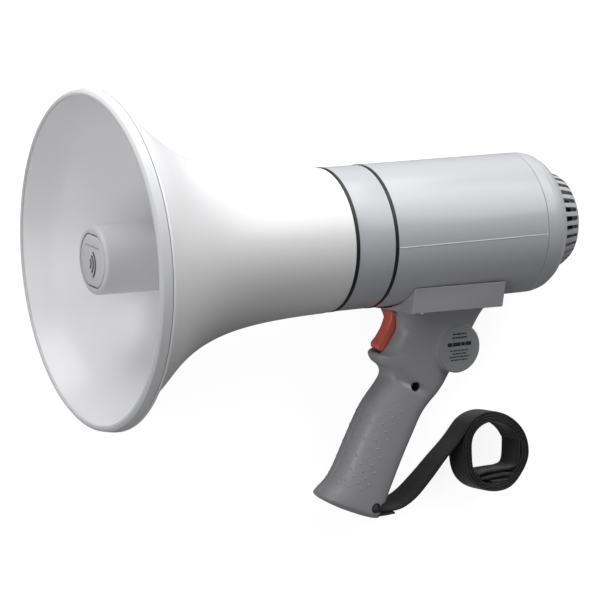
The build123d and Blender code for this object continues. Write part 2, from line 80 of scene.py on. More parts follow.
GRIP_SCREW = (227.6, -99.9)
WELL_RADIUS = 3.3
STRAP_SCREW = (198.8, -178.0)
STRAP_WIDTH = 26.0
STRAP_THICKNESS = 1.6
STRAP_LIFT = 1.2
KNOB_X = 209.5
KNOB_ANGLE = 25.0
KNOB_RADIUS = 9.5
ROUND_STEPS = 180
CAMERA_YAW = 28.67
CAMERA_ELEVATION = 11.44
CAMERA_ROLL = 0.53
CAMERA_DISTANCE = 1816.0
CAMERA_TARGET = (146.0, 0, -27.7)
CAMERA_LENS = 171.0
CAMERA_SHIFT = (0.0067, -0.025)
LIGHT_TARGET = (170, 0, -20)


# Placing


def upright_to_row():
    """The move from the upright frame in millimetres to the row frame in metres."""
    mounts = {mount["name"]: mount for mount in frame["record"]["mounts"]}
    joints = {joint["name"]: joint for joint in frame["joints"]}
    x_axis = -Vector(mounts["bell_rim_face"]["axis"]).normalized()
    y_axis = -Vector(joints["trigger_pull"]["axis"]).normalized()
    z_axis = x_axis.cross(y_axis)
    pivot = Vector(joints["trigger_pull"]["pos_m"])
    origin = pivot - MM * (TRIGGER_PIVOT[0] * x_axis + TRIGGER_PIVOT[1] * z_axis)
    turn = Matrix((x_axis, y_axis, z_axis)).transposed().to_4x4()
    return Matrix.Translation(origin) @ turn @ Matrix.Scale(MM, 4)


UPRIGHT = upright_to_row()
TABLE_UP = UPRIGHT.inverted().to_3x3() @ Vector((0, 0, 1))
TABLE_UP.normalize()


# Camera, floor and light


def look_from(yaw, elevation):
    """The upright direction from the object towards a viewer; yaw turns from -Y towards -X."""
    yaw, elevation = math.radians(yaw), math.radians(elevation)
    flat = math.cos(elevation)
    return Vector((-math.sin(yaw) * flat, -math.cos(yaw) * flat, math.sin(elevation)))


def add_camera():
    """The photo's long-lens view of the object, turned by a small roll."""
    roll = math.radians(CAMERA_ROLL)
    back = look_from(CAMERA_YAW, CAMERA_ELEVATION)
    across = Vector((0, 0, 1)).cross(back).normalized()
    above = back.cross(across)
    rolled_across = math.cos(roll) * across + math.sin(roll) * above
    rolled_above = math.cos(roll) * above - math.sin(roll) * across
    data = bpy.data.cameras.new("camera")
    data.sensor_width = 36.0
    data.lens = CAMERA_LENS
    data.shift_x, data.shift_y = CAMERA_SHIFT
    data.clip_end = 20.0
    camera = bpy.data.objects.new("camera", data)
    bpy.context.scene.collection.objects.link(camera)
    turn = Matrix((rolled_across, rolled_above, back)).transposed()
    row_turn = UPRIGHT.to_3x3() * (1 / MM) @ turn
    place_in_row = UPRIGHT @ (Vector(CAMERA_TARGET) + back * CAMERA_DISTANCE)
    camera.matrix_world = Matrix.Translation(place_in_row) @ row_turn.to_4x4()
    bpy.context.scene.camera = camera


def add_floor():
    """A white floor that keeps only a trace of the shadows and throws little light back up."""
    reach = 6.0
    mesh = bpy.data.meshes.new("floor")
    mesh.from_pydata([(-reach, -reach, 0), (reach, -reach, 0), (reach, reach, 0), (-reach, reach, 0)], [],
                     [(0, 1, 2, 3)])
    floor = bpy.data.objects.new("floor", mesh)
    bpy.context.scene.collection.objects.link(floor)
    paint, tree, shader = new_material("floor")
    shader.inputs["Base Color"].default_value = (0.3, 0.3, 0.3, 1)
    shader.inputs["Roughness"].default_value = 0.9
    shader.inputs["Specular IOR Level"].default_value = 0.0
    shader.inputs["Emission Color"].default_value = (1, 1, 1, 1)
    seen = node(tree, "ShaderNodeLightPath").outputs["Is Camera Ray"]
    tree.links.new(spread(tree, seen, 0.0, 1.0, 0.0, 0.9), shader.inputs["Emission Strength"])
    mesh.materials.append(paint)


def add_softbox(name, direction, distance, width, height, power):
    """A rectangular light that faces the middle of the object from an upright direction."""
    centre = UPRIGHT @ Vector(LIGHT_TARGET)
    away = (UPRIGHT.to_3x3() @ Vector(direction)).normalized()
    data = bpy.data.lights.new(name, "AREA")
    data.shape = "RECTANGLE"
    data.size, data.size_y = width, height
    data.energy = power
    light = bpy.data.objects.new(name, data)
    bpy.context.scene.collection.objects.link(light)
    light.location = centre + away * distance
    light.rotation_mode = "QUATERNION"
    light.rotation_quaternion = away.to_track_quat("Z", "Y")


def add_lights():
    world = bpy.data.worlds.new("studio")
    world.use_nodes = True
    tree = world.node_tree
    background = tree.nodes["Background"]
    background.inputs["Color"].default_value = (1, 1, 1, 1)
    seen = node(tree, "ShaderNodeLightPath").outputs["Is Camera Ray"]
    tree.links.new(spread(tree, seen, 0.0, 1.0, 0.10, 1.0), background.inputs["Strength"])
    bpy.context.scene.world = world
    bpy.context.scene.view_settings.view_transform = "Standard"
    add_softbox("overhead_softbox", (-0.10, -0.08, 1.0), 1.1, 1.5, 1.0, 17.5)
    add_softbox("camera_side_softbox", (1.10, -0.9, 1.20), 1.7, 1.2, 1.2, 12.0)
    add_softbox("front_softbox", (-1.0, 0.10, -0.5), 1.5, 0.8, 0.8, 5.4)
    add_softbox("grip_softbox", (-1.0, -0.72, 0.10), 1.5, 0.9, 0.9, 6.2)


# Materials


def node(tree, kind, **values):
    made = tree.nodes.new(kind)
    for key, value in values.items():
        if key in made.inputs:
            made.inputs[key].default_value = value
        else:
            setattr(made, key, value)
    return made


def new_material(name):
    material = bpy.data.materials.new(name)
    material.use_nodes = True
    return material, material.node_tree, material.node_tree.nodes["Principled BSDF"]


def noise(tree, coordinates, scale, detail=3.0):
    made = node(tree, "ShaderNodeTexNoise", Scale=scale, Detail=detail, Roughness=0.55)
    tree.links.new(coordinates, made.inputs["Vector"])
    return made.outputs["Fac"]


def spread(tree, value, low, high, new_low, new_high):
    made = node(tree, "ShaderNodeMapRange")
    made.inputs["From Min"].default_value = low
    made.inputs["From Max"].default_value = high
    made.inputs["To Min"].default_value = new_low
    made.inputs["To Max"].default_value = new_high
    tree.links.new(value, made.inputs["Value"])
    return made.outputs["Result"]


def blend_colours(tree, share, first, second):
    made = node(tree, "ShaderNodeMix", data_type="RGBA")
    for socket, value in ((made.inputs[6], first), (made.inputs[7], second)):
        if isinstance(value, bpy.types.NodeSocket):
            tree.links.new(value, socket)
        else:
            socket.default_value = (*value, 1)
    tree.links.new(share, made.inputs[0])
    return made.outputs[2]


def shaded(colour, factor):
    return tuple(channel * factor for channel in colour)


def bump(tree, height, strength, distance):
    made = node(tree, "ShaderNodeBump", Strength=strength, Distance=distance)
    tree.links.new(height, made.inputs["Height"])
    return made.outputs["Normal"]


def object_coordinates(tree):
    return node(tree, "ShaderNodeTexCoord").outputs["Object"]


def moulded_plastic(name, colour, roughness, grain=0.25, grain_scale=2600.0):
    """Injection-moulded plastic: fine spark grain, faint flow marks, smudges, and painted shade in the corners."""
    material, tree, shader = new_material(name)
    place = object_coordinates(tree)
    flow = spread(tree, noise(tree, place, 14.0), 0.1, 0.9, 0.0, 1.0)
    base = blend_colours(tree, flow, shaded(colour, 0.985), shaded(colour, 1.015))
    # Painted shade: the colour darkens towards 45% where ambient occlusion finds close surfaces, in corners,
    # creases and gaps.
    corner = node(tree, "ShaderNodeAmbientOcclusion", Distance=0.004)
    corner.samples = 4
    corner_shade = spread(tree, corner.outputs["AO"], 0.0, 0.75, 0.55, 0.0)
    base = blend_colours(tree, corner_shade, base, shaded(colour, 0.45))
    tree.links.new(base, shader.inputs["Base Color"])
    smudge = spread(tree, noise(tree, place, 30.0, 2.0), 0.2, 0.8, roughness - 0.015, roughness + 0.02)
    tree.links.new(smudge, shader.inputs["Roughness"])
    fine = noise(tree, place, grain_scale, 2.0)
    tree.links.new(bump(tree, fine, grain, 0.00003), shader.inputs["Normal"])
    return material


def black_rubber(name):
    material, tree, shader = new_material(name)
    place = object_coordinates(tree)
    bloom = spread(tree, noise(tree, place, 90.0, 4.0), 0.35, 0.75, 0.0, 1.0)
    tree.links.new(blend_colours(tree, bloom, (0.008, 0.008, 0.009), (0.018, 0.018, 0.018)),
                   shader.inputs["Base Color"])
    tree.links.new(spread(tree, noise(tree, place, 700.0), 0.3, 0.7, 0.42, 0.6), shader.inputs["Roughness"])
    tree.links.new(bump(tree, noise(tree, place, 3000.0, 2.0), 0.3, 0.00004), shader.inputs["Normal"])
    return material


def metal(name, colour, roughness):
    """Plated or brushed metal with fine directional marks and slight tarnish."""
    material, tree, shader = new_material(name)
    place = object_coordinates(tree)
    stretch = node(tree, "ShaderNodeMapping", Scale=(400.0, 400.0, 6000.0))
    tree.links.new(place, stretch.inputs["Vector"])
    marks = noise(tree, stretch.outputs["Vector"], 1.0, 3.0)
    tarnish = spread(tree, noise(tree, place, 140.0, 4.0), 0.4, 0.75, 0.0, 1.0)
    tree.links.new(blend_colours(tree, tarnish, colour, shaded(colour, 0.72)), shader.inputs["Base Color"])
    gloss = spread(tree, marks, 0.3, 0.7, roughness - 0.08, roughness + 0.12)
    tree.links.new(gloss, shader.inputs["Roughness"])
    tree.links.new(bump(tree, marks, 0.25, 0.00003), shader.inputs["Normal"])
    shader.inputs["Metallic"].default_value = 1.0
    return material


def speckled(name, colour, speck, roughness, scale):
    """A dull two-tone material such as ferrite, phenolic film, varnished board or cloth."""
    material, tree, shader = new_material(name)
    place = object_coordinates(tree)
    grains = spread(tree, noise(tree, place, scale, 4.0), 0.42, 0.62, 0.0, 1.0)
    tree.links.new(blend_colours(tree, grains, colour, speck), shader.inputs["Base Color"])
    tree.links.new(spread(tree, grains, 0.0, 1.0, roughness, roughness + 0.12), shader.inputs["Roughness"])
    tree.links.new(bump(tree, grains, 0.35, 0.00006), shader.inputs["Normal"])
    return material


def webbing(name):
    """Black woven nylon: ribs along the strap, crossed by the picks of a twill, with painted shade darkening the
    weave's valleys.
    """
    material, tree, shader = new_material(name)
    along = node(tree, "ShaderNodeUVMap").outputs["UV"]
    ribs = node(tree, "ShaderNodeTexWave", Scale=1.0, Distortion=0.0)
    ribs.bands_direction = "X"
    place = node(tree, "ShaderNodeMapping", Scale=(0.157, 0.0, 1.0))
    tree.links.new(along, place.inputs["Vector"])
    tree.links.new(place.outputs["Vector"], ribs.inputs["Vector"])
    picks = node(tree, "ShaderNodeTexWave", Scale=1.0, Distortion=0.6)
    picks.bands_direction = "DIAGONAL"
    slant = node(tree, "ShaderNodeMapping", Scale=(0.12, 0.42, 0.0))
    tree.links.new(along, slant.inputs["Vector"])
    tree.links.new(slant.outputs["Vector"], picks.inputs["Vector"])
    weave = node(tree, "ShaderNodeMath", operation="MULTIPLY_ADD")
    tree.links.new(picks.outputs["Fac"], weave.inputs[0])
    weave.inputs[1].default_value = 0.55
    tree.links.new(ribs.outputs["Fac"], weave.inputs[2])
    lint = spread(tree, noise(tree, object_coordinates(tree), 260.0, 5.0), 0.35, 0.75, 0.0, 1.0)
    thread = blend_colours(tree, lint, (0.010, 0.010, 0.012), (0.022, 0.022, 0.025))
    # Painted shade: the base colour darkens towards near-black in the valleys of the weave.
    lit = spread(tree, weave.outputs["Value"], 0.0, 1.5, 0.0, 1.0)
    tree.links.new(blend_colours(tree, lit, (0.003, 0.003, 0.004), thread), shader.inputs["Base Color"])
    tree.links.new(spread(tree, lit, 0.0, 1.0, 0.75, 0.5), shader.inputs["Roughness"])
    tree.links.new(bump(tree, weave.outputs["Value"], 0.8, 0.00018), shader.inputs["Normal"])
    shader.inputs["Sheen Weight"].default_value = 0.25
    shader.inputs["Sheen Roughness"].default_value = 0.4
    return material


# Mesh helpers


def rounded(corners, closed=True, steps=5):
    """The outline through (a, b) or (a, b, radius) corners, with an arc where a radius is given."""
    points = []
    count = len(corners)
    for index, corner in enumerate(corners):
        here = Vector(corner[:2])
        radius = corner[2] if len(corner) > 2 else 0
        at_end = not closed and index in (0, count - 1)
        if radius == 0 or at_end:
            points.append(here)
            continue
        before = Vector(corners[index - 1][:2]) - here
        after = Vector(corners[(index + 1) % count][:2]) - here
        angle = before.angle(after)
        reach = radius / math.tan(angle / 2)
        reach = min(reach, 0.49 * before.length, 0.49 * after.length)
        first, last = here + before.normalized() * reach, here + after.normalized() * reach
        for step in range(steps + 1):
            share = step / steps
            points.append((1 - share) ** 2 * first + 2 * share * (1 - share) * here + share ** 2 * last)
    return [tuple(point) for point in points]


def lathe(profile, steps=ROUND_STEPS, start=0.0, end=360.0, closed=True):
    """Verts and faces of an (x, radius) outline turned about the horn axis; a part turn gets end caps."""
    full = abs(end - start) >= 360
    stations = steps if full else steps + 1
    verts, faces = [], []
    for step in range(stations):
        angle = math.radians(start + (end - start) * step / steps)
        verts += [(x, radius * math.cos(angle), radius * math.sin(angle)) for x, radius in profile]
    count = len(profile)
    edges = range(count) if closed else range(count - 1)
    for step in range(steps):
        here, following = step * count, (step + 1) % stations * count
        for edge in edges:
            ahead = (edge + 1) % count
            faces.append((here + edge, here + ahead, following + ahead, following + edge))
    if not full:
        faces.append(tuple(range(count)))
        faces.append(tuple(range((stations - 1) * count, stations * count))[::-1])
    return verts, faces


def joined(*shapes):
    verts, faces = [], []
    for more_verts, more_faces in shapes:
        offset = len(verts)
        verts += more_verts
        faces += [tuple(index + offset for index in face) for face in more_faces]
    return verts, faces


def prism(outline, low, high):
    """An (x, z) outline given thickness from y = low to y = high."""
    count = len(outline)
    verts = [(x, low, z) for x, z in outline] + [(x, high, z) for x, z in outline]
    faces = [(index, (index + 1) % count, count + (index + 1) % count, count + index)
             for index in range(count)]
    faces += [tuple(range(count))[::-1], tuple(range(count, 2 * count))]
    return verts, faces


def turned_about(shape, centre, direction, reference=(0, 0, 1)):
    """A lathe about the X axis moved so that its axis starts at centre and runs along direction."""
    x_axis = Vector(direction).normalized()
    y_axis = Vector(reference).cross(x_axis).normalized()
    z_axis = x_axis.cross(y_axis)
    move = Matrix.Translation(Vector(centre)) @ Matrix((x_axis, y_axis, z_axis)).transposed().to_4x4()
    verts, faces = shape
    return [tuple(move @ Vector(vert)) for vert in verts], faces


def new_object(name, shape):
    """A mesh object in upright millimetres, with its faces turned outwards and doubled points joined."""
    mesh = bpy.data.meshes.new(name)
    mesh.from_pydata(shape[0], [], shape[1])
    cleaner = bmesh.new()
    cleaner.from_mesh(mesh)
    bmesh.ops.remove_doubles(cleaner, verts=cleaner.verts, dist=0.0005)
    bmesh.ops.dissolve_degenerate(cleaner, edges=cleaner.edges, dist=0.0002)
    bmesh.ops.recalc_face_normals(cleaner, faces=cleaner.faces)
    cleaner.to_mesh(mesh)
    cleaner.free()
    made = bpy.data.objects.new(name, mesh)
    bpy.context.scene.collection.objects.link(made)
    return made


def apply_modifiers(made):
    evaluated = made.evaluated_get(bpy.context.evaluated_depsgraph_get())
    mesh = bpy.data.meshes.new_from_object(evaluated)
    made.modifiers.clear()
    made.data = mesh
    return made


def combine(made, other, operation):
    """Cuts, joins or keeps what two meshes share, and drops the second."""
    step = made.modifiers.new(operation.lower(), "BOOLEAN")
    step.operation = operation
    step.solver = "EXACT"
    step.object = other
    apply_modifiers(made)
    bpy.data.objects.remove(other)
    return made


def bevelled(made, width, segments=3, angle=30):
    step = made.modifiers.new("bevel", "BEVEL")
    step.width = width
    step.segments = segments
    step.limit_method = "ANGLE"
    step.angle_limit = math.radians(angle)
    return apply_modifiers(made)


def place(made, material, slot, body="housing", stands_for=(), sharp=40):
    """Lays a finished mesh down in the row frame, gives it its material and its body."""
    made.data.transform(UPRIGHT)
    made.data.shade_smooth()
    made.data.set_sharp_from_angle(angle=math.radians(sharp))
    made.data.materials.clear()
    made.data.materials.append(material)
    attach(made, body)
    if stands_for:
        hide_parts(*stands_for)
    return made


# Horn


def flare_radius(x):
    run = (x - BELL_FLANGE_END) / FLARE_LENGTH
    tuck = FLARE_TUCK * math.exp(-((x - BELL_FLANGE_END) / 12) ** 2)
    return THROAT_RADIUS + FLARE_HEIGHT * math.exp(-(run ** FLARE_POWER)) - tuck


def inside_flare(x):
    """The point of the bell's inner face square to the outer face at x."""
    step = 0.01
    slope = (flare_radius(x + step) - flare_radius(x)) / step
    length = math.hypot(1.0, slope)
    return (x + BELL_WALL * slope / length, flare_radius(x) - BELL_WALL / length)


def horn_bell(material):
    """The white bell: flared skin, thickened mouth, rolled flange behind the rim and a plain rear seat."""
    stations = [BELL_FLANGE_END + 0.6 + 154.0 * (step / 48) ** 1.5 for step in range(49)]
    outer = [(x, flare_radius(x)) for x in stations if x < BELL_END - 1.5]
    inner = [inside_flare(x) for x in stations if 31 < x < 132]
    rear = rounded([outer[-1], (BELL_END, THROAT_RADIUS, 0.5), (BELL_END, 43.8, 0.4), inner[-1]],
                   closed=False)
    lip = rounded([inner[0], (20, 91.4, 60), (1.3, MOUTH_RADIUS), (1.3, 102.4), (RIM_DEPTH + 0.35, 102.4),
                   (RIM_DEPTH + 0.35, RIM_RADIUS, 0.45), (BELL_FLANGE_END, RIM_RADIUS, 0.5),
                   (BELL_FLANGE_END + 0.1, 104.4, 0.8), outer[0]], closed=False)
    profile = outer + rear[1:-1] + inner[::-1] + lip[1:-1]
    return place(new_object("bell", lathe(profile, 256)), material, "bell_white", stands_for=["horn_bell"])


def rim_ring(material):
    """The rim: a rounded front lip and a slightly tapered side band with a thin groove behind it."""
    lip = MOUTH_RADIUS + 0.1
    rear = RIM_DEPTH - 0.1
    profile = rounded([(0.0, lip, 0.6), (0.0, 103.2, 0.9), (1.5, 104.9, 0.8), (rear, RIM_RADIUS, 0.35),
                       (rear, 102.6), (1.25, 102.6), (1.25, lip)])
    return place(new_object("rim", lathe(profile, 256)), material, "bell_white", stands_for=["bell_rim_ring"])


def badge_outline(grow=0.0):
    """A circle with a flat at its top and bottom, as (y, z) points."""
    radius, flat = BADGE_RADIUS + grow, BADGE_FLAT + grow
    points = []
    for step in range(96):
        angle = 2 * math.pi * step / 96
        points.append((radius * math.cos(angle), max(-flat, min(flat, radius * math.sin(angle)))))
    return points


def badge_prism(grow, low, high):
    """The badge's outline given thickness along the horn axis."""
    verts, faces = prism(badge_outline(grow), low, high)
    return [(y, x, z) for x, y, z in verts], faces


def reflector(material):
    """The cup in the mouth, with a rounded front edge and a recess for the badge."""
    front = REFLECTOR_FRONT
    rear = REFLECTOR_REAR
    profile = rounded([(front, 0), (front, REFLECTOR_RADIUS, 2.6), (70, 22.4, 40), (100, 24.2, 40),
                       (rear, 27.0, 0.7), (rear, 25.0, 0.7), (100, 22.2, 30), (70, 20.4, 30),
                       (front + 4, 18.9, 1.0), (front + 4, 0)], closed=False, steps=8)
    made = new_object("reflector", lathe(profile, 180, closed=False))
    combine(made, new_object("recess", badge_prism(0.7, front - 1, front + 1.9)), "DIFFERENCE")
    return place(made, material, "bell_white", stands_for=["center_reflector"])


def badge(material):
    """The satin plate, with eased edges and a groove near its top; the three generic sound-wave arcs are made by
    badge_waves.
    """
    front = REFLECTOR_FRONT
    made = bevelled(new_object("badge", badge_prism(-0.2, front - 0.1, front + 1.85)), 0.6)
    groove = new_object("groove", box_shape((front, 0, 8.9), (1.0, 20.0, 0.8)))
    combine(made, groove, "DIFFERENCE")
    return place(made, material, "badge_grey", stands_for=["emblem_badge"])


def badge_waves(material):
    """Three raised arcs that open to one side, like sound leaving a loudspeaker."""
    arcs = [arc_bar(radius, 1.5, 52.0) for radius in (3.4, 6.6, 9.8)]
    return place(bevelled(new_object("badge_waves", joined(*arcs)), 0.12, 2), material, "badge_grey")


def arc_bar(radius, width, half_angle):
    """One raised arc on the badge's face."""
    steps = 20
    low, high = REFLECTOR_FRONT - 0.4, REFLECTOR_FRONT + 0.2
    outline = []
    for edge, order in ((radius + width / 2, 1), (radius - width / 2, -1)):
        for step in range(steps + 1)[::order]:
            angle = math.radians(half_angle * (2 * step / steps - 1))
            outline.append((5.0 - edge * math.cos(angle), edge * math.sin(angle) - 2.2))
    verts, faces = prism(outline, low, high)
    return [(y, x, z) for x, y, z in verts], faces


def box_shape(centre, size):
    corners = [(a, b, c) for a in (-0.5, 0.5) for b in (-0.5, 0.5) for c in (-0.5, 0.5)]
    verts = [tuple(centre[axis] + corner[axis] * size[axis] for axis in range(3)) for corner in corners]
    return verts, [(0, 1, 3, 2), (4, 6, 7, 5), (0, 4, 5, 1), (2, 3, 7, 6), (0, 2, 6, 4), (1, 5, 7, 3)]


# Body


def seal(name, start, stands_for, material):
    """A rubber ring with a softly crowned rim."""
    profile = rounded([(start, THROAT_RADIUS + 0.3, 0.45), (start + SEAL_WIDTH, THROAT_RADIUS + 0.3, 0.45),
                       (start + SEAL_WIDTH, 43.7), (start, 43.7)])
    return place(new_object(name, lathe(profile)), material, "seal_black", stands_for=[stands_for])


def collar(material):
    """The ring between the seals, with a spigot at each end and a wall across the middle."""
    start, end = FRONT_SEAL + SEAL_WIDTH + 0.1, REAR_SEAL - 0.1
    profile = rounded([(start, THROAT_RADIUS, 0.35), (end, THROAT_RADIUS, 0.35), (end, 43.6),
                       (REAR_SEAL + 8, 43.6), (REAR_SEAL + 8, 41.4), (183.5, 41.4), (183.5, 0), (181.5, 0),
                       (181.5, 41.4), (157.0, 41.4), (157.0, 43.6), (start, 43.6)])
    return place(new_object("collar", lathe(profile)), material, "body_grey", stands_for=["collar_ring"])


def body_half(name, upper, stands_for, material):
    """Half of the battery tube; only the upper half has the hole for the knob's shaft."""
    outer, inner = BODY_RADIUS, BODY_RADIUS - BODY_WALL
    profile = rounded([(BODY_START, outer, 0.35), (BODY_END - 0.12, outer, 0.35), (BODY_END - 0.12, inner),
                       (BODY_START, inner)])
    gap = 0.06
    start, end = (gap, 180 - gap) if upper else (180 + gap, 360 - gap)
    made = new_object(name, lathe(profile, 96, start, end))
    if upper:
        outward = knob_axis()[1]
        hole = lathe(rounded([(0, 0), (0, 3.7), (14, 3.7), (14, 0)], closed=False), 40, closed=False)
        inside = Vector((KNOB_X, 0, 0)) + outward * 38
        combine(made, new_object("hole", turned_about(hole, inside, outward, (1, 0, 0))), "DIFFERENCE")
    return place(made, material, "body_grey", stands_for=[stands_for])


def parting_beads(material):
    """The thin bead that each side's parting line leaves, coloured lighter than the body as a painted highlight;
    its upper half also catches the light.
    """
    length = BODY_END - BODY_START - 0.9
    beads = [rod_shape((BODY_START + 0.4, side * (BODY_RADIUS - 0.25), 0), (1, 0, 0), 0.45, length, 0.2, 24)
             for side in (-1, 1)]
    return place(new_object("parting_beads", joined(*beads)), material, "body_grey", sharp=80)


def rear_shell(material):
    """The cover behind the seam: skirt, rounded shoulder and the seat of the microphone cap."""
    seam = BODY_END + 0.15
    outside = [(298, 41.8), (298, 43.5), (seam, 43.5), (seam, BODY_RADIUS, 0.4), (314.5, 46.3, 6),
               (319.2, 45.2, 6), (323.6, 42.4, 6), (326.2, 39.2, 3), (327.6, 36.0, 0.8)]
    inside = [(327.6, 28.0, 0.4), (325.4, 28.0), (325.4, 33.8, 2), (323.6, 37.6, 3), (320.8, 40.6, 3),
              (316.3, 42.6), (315.6, 42.6), (312.0, 41.8)]
    made = new_object("rear_shell", lathe(rounded(outside + inside)))
    return place(made, material, "cover_grey", "rear_cover", ["rear_cover"])


def around(radius, angle):
    """The point at a radius and an angle in degrees round the horn axis."""
    turn = math.radians(angle)
    return (0.0, radius * math.cos(turn), radius * math.sin(turn))


def microphone_grille(material):
    """The cap over the microphone: a ribbed wall, a smooth rear rim and a dished face full of holes."""
    outside = [(327.7, 34.8, 0.5), (337.8, 31.8, 6), (342.0, 29.2, 4), (344.4, 25.8, 1.2),
               (344.2, 24.4, 0.8), (342.6, 22.0, 6), (341.8, 10, 20), (341.7, 0)]
    inside = [(339.8, 0), (339.9, 26.0, 1), (338.0, 27.4), (327.7, 31.8)]
    profile = rounded(outside + inside, closed=False, steps=6)
    made = new_object("grille", lathe(profile + [profile[0]], 204, closed=False))
    slots = []
    for step in range(CAP_SLOTS):
        outline = rounded([(328.6, -1.75, 0.6), (328.6, 1.75, 0.6), (340.8, 1.35, 1.1), (340.8, -1.35, 1.1)])
        verts, faces = prism(outline, 27.2, 38)
        angle = math.radians(step * 360 / CAP_SLOTS)
        cos, sin = math.cos(angle), math.sin(angle)
        slots.append(([(x, y * cos - z * sin, y * sin + z * cos) for x, y, z in verts], faces))
    combine(made, new_object("slots", joined(*slots)), "DIFFERENCE")
    holes = []
    for ring in range(4):
        count = max(1, 6 * ring)
        for step in range(count):
            hole = lathe([(338.0, 0), (338.0, 1.3), (345.0, 1.3), (345.0, 0)], 16, closed=False)
            x, y, z = around(6.2 * ring, step * 360 / count)
            holes.append(([(a + x, b + y, c + z) for a, b, c in hole[0]], hole[1]))
    combine(made, new_object("holes", joined(*holes)), "DIFFERENCE")
    return place(made, material, "cap_grey", "rear_cover", ["microphone_cap"], sharp=32)


def volume_dial(material):
    """The fluted knob, with a domed face."""
    profile = rounded([(0.4, 0), (0.4, KNOB_RADIUS, 0.5), (7.5, KNOB_RADIUS - 0.3, 1.1), (7.9, 5.0, 2.0),
                       (7.6, 0)], closed=False, steps=6)
    verts, faces = lathe(profile, 216, closed=False)
    fluted = []
    for x, y, z in verts:
        radius, angle = math.hypot(y, z), math.atan2(z, y)
        share = max(0.0, min(1.0, (radius - 7.5) / 1.5))
        shrink = 1 - 0.055 * share * max(0.0, math.cos(18 * angle)) ** 2
        fluted.append((x, y * shrink, z * shrink))
    made = new_object("dial", turned_about((fluted, faces), *knob_axis()))
    return place(made, material, "black_plastic", "volume", ["volume_knob"])


def knob_axis():
    """Where the knob's underside meets its axis, and the way the axis points."""
    outward = Vector(around(1, KNOB_ANGLE))
    return Vector((KNOB_X, 0, 0)) + outward * 47.0, outward


# Handle


PLATE_CORNERS = [(212.5, -29.4), (280.8, -30.5), (278.6, -46.9), (210.5, -45.7)]
PLATE_HALF_WIDTH = 37.4
HANDLE_VOXEL = 0.55
DOT_SPACING = 8.0
DOT_RADIUS = 0.9
DOT_HEIGHT = 0.45
DOT_ROWS = 13
DOT_REACH = 30.0
BOW_TIP = 200.0
GRIP_RIBS = [
    # front x, front z, rear x, rear z, half width, squareness
    (214.0, -43.0, 278.8, -44.0, 30.0, 9.0),
    (214.0, -45.6, 279.0, -46.4, 27.0, 9.0),
    (214.2, -47.0, 279.0, -47.6, 26.0, 9.0),
    (214.8, -48.4, 278.9, -48.9, 24.0, 8.0),
    (215.6, -50.2, 278.8, -50.6, 22.0, 6.5),
    (216.2, -52.4, 278.4, -52.8, 20.4, 5.4),
    (216.9, -57.0, 277.0, -57.8, 18.4, 4.3),
    (216.2, -62.4, 274.8, -64.6, 17.0, 3.3),
    (211.6, -69.6, 271.4, -73.0, 16.5, 2.9),
    (206.8, -75.4, 266.6, -82.0, 16.3, 2.7),
    (202.2, -78.2, 263.4, -87.6, 16.3, 2.6),
    (204.4, -83.4, 260.4, -92.0, 16.1, 2.6),
    (209.8, -88.0, 257.2, -97.0, 16.0, 2.6),
    (211.2, -93.6, 253.8, -102.2, 15.9, 2.6),
    (207.4, -99.8, 249.6, -107.4, 15.7, 2.6),
    (201.6, -106.6, 243.8, -113.0, 15.6, 2.6),
    (195.6, -115.0, 237.6, -120.4, 15.7, 2.6),
    (189.4, -126.6, 231.2, -132.8, 15.8, 2.6),
    (182.6, -140.7, 223.8, -148.0, 15.9, 2.6),
    (177.2, -151.8, 217.6, -162.0, 16.0, 2.6),
    (172.2, -159.6, 212.8, -173.0, 16.0, 2.7),
    (166.4, -164.8, 209.2, -181.4, 16.0, 2.9),
    (163.6, -167.6, 206.6, -186.6, 15.8, 3.0),
]


def smooth_between(rows, share):
    """A point on the Catmull-Rom curve through rows of numbers; share runs from 0 to 1."""
    spans = len(rows) - 1
    index = min(int(share * spans), spans - 1)
    part = share * spans - index
    before, here = rows[max(index - 1, 0)], rows[index]
    ahead, beyond = rows[index + 1], rows[min(index + 2, spans)]
    weights = (-0.5 * part + part ** 2 - 0.5 * part ** 3, 1 - 2.5 * part ** 2 + 1.5 * part ** 3,
               0.5 * part + 2 * part ** 2 - 1.5 * part ** 3, -0.5 * part ** 2 + 0.5 * part ** 3)
    return [sum(weight * row[item] for weight, row in zip(weights, (before, here, ahead, beyond)))
            for item in range(len(here))]


def smooth_step(value, low, high):
    share = max(0.0, min(1.0, (value - low) / (high - low)))
    return share * share * (3 - 2 * share)


def handle_relief(x, z):
    """How far the handle's side stands out: the swell round the trigger, less the crease under it."""
    start, end = Vector((211.0, -90.0)), Vector(GRIP_SCREW)
    run = end - start
    share = (Vector((x, z)) - start).dot(run) / run.length_squared
    side = (Vector((x, z)) - start - run * share).length
    fade = smooth_step(share, -0.35, 0.1) * (1 - smooth_step(share, 1.0, 1.7))
    crease = -2.0 * math.exp(-((side / 2.6) ** 2)) * fade
    above = smooth_step((x - start.x) * -run.y + (z - start.y) * run.x, -40.0, 60.0)
    swell = 0.9 * above * smooth_step(z, -100.0, -88.0) * (1 - smooth_step(z, -66.0, -56.0))
    return crease + swell


def handle_point(share, angle):
    """A point of the left side: share runs from the saddle to the butt, angle from the front to the rear."""
    front_x, front_z, rear_x, rear_z, half, square = smooth_between(GRIP_RIBS, share)
    along = -math.copysign(abs(math.cos(angle)) ** (2 / square), math.cos(angle))
    out = abs(math.sin(angle)) ** (2 / square)
    x = (front_x + rear_x) / 2 + along * (rear_x - front_x) / 2
    z = (front_z + rear_z) / 2 + along * (rear_z - front_z) / 2
    relief = handle_relief(x, z) * smooth_step(out, 0.45, 0.95)
    return Vector((x, -out * half - relief, z))


